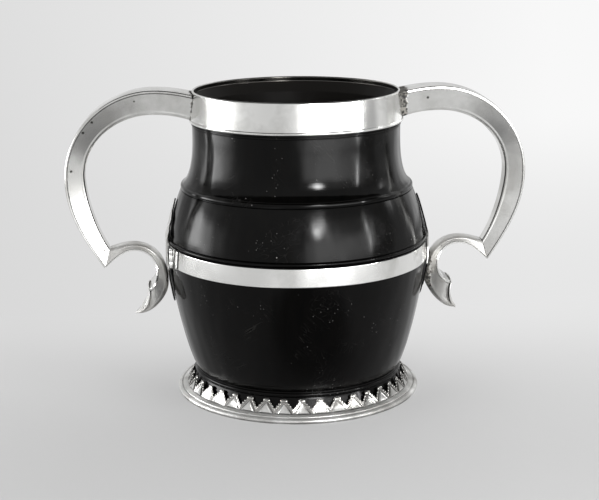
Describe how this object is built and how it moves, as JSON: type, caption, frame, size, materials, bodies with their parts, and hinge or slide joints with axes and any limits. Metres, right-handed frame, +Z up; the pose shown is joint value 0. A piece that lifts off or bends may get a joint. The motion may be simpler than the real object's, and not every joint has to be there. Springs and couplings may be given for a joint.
{
  "type": "two-handled cup",
  "caption": "Turned dark wood cup with a flared silver rim mount, hinged waist band, double-scroll side handles and a leaf-bordered foot ring.",
  "frame": {"origin": "centre of the foot's underside, on the cup's axis", "axes": "+Z up along the cup's axis, +X through the right handle, -Y the front"},
  "size_m": [0.2722, 0.155, 0.1827],
  "materials": {
    "wood": "polished near-black dense hardwood, glossy",
    "silver": "worn polished silver with fine scratches"
  },
  "bodies": {
    "cup": {"turned_body": "wood", "rim_mount": "silver", "waist_band": "silver", "hinge_leaf_front": "silver", "hinge_leaf_back": "silver", "left_side_plate": "silver", "left_handle_upper_trough": "silver", "left_handle_upper_strip": "silver", "left_handle_lower_trough": "silver", "left_handle_lower_strip": "silver", "left_handle_terminal_cap": "silver", "right_side_plate": "silver", "right_handle_upper_trough": "silver", "right_handle_upper_strip": "silver", "right_handle_lower_trough": "silver", "right_handle_lower_strip": "silver", "right_handle_terminal_cap": "silver", "foot_ring": "silver", "leaf_border": "silver"},
    "pin": {"hinge_pin": "silver"}
  },
  "joints": [
    {"name": "pin_draw", "type": "slide", "parent": "cup", "child": "pin", "axis": [0, 0, 1], "range_m": [0, 0.011]}
  ]
}
